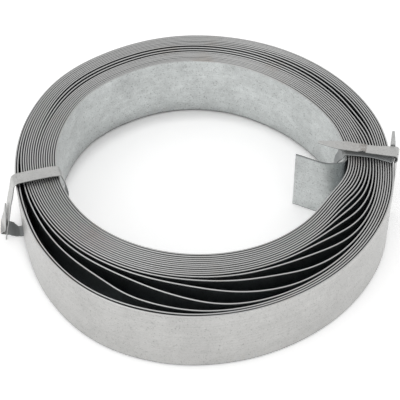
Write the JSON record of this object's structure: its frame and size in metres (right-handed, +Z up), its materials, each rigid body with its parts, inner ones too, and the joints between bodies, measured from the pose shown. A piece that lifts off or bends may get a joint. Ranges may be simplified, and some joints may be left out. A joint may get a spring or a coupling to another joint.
{
  "type": "coil of steel strapping",
  "caption": "Loose flat-wound coil of galvanised steel strap, held by narrow tie strips bent round the winding, with the inner end of the strap curling free into the eye.",
  "frame": {"origin": "on the floor, in the middle of the coil's outline seen from above", "axes": "+Z up along the coil's axis, +X to the right and -Y to the front where the turns cross in the open; the coil lies on its flat side"},
  "size_m": [0.2268, 0.2226, 0.0512],
  "materials": {
    "strap": "dull galvanised strip with a fine speckle and brighter slit edges",
    "tie": "dull galvanised narrow strip, creased where it is bent by hand"
  },
  "bodies": {
    "root": {"strap_coil": "strap", "tie_left": "tie", "tie_right": "tie"}
  },
  "joints": []
}
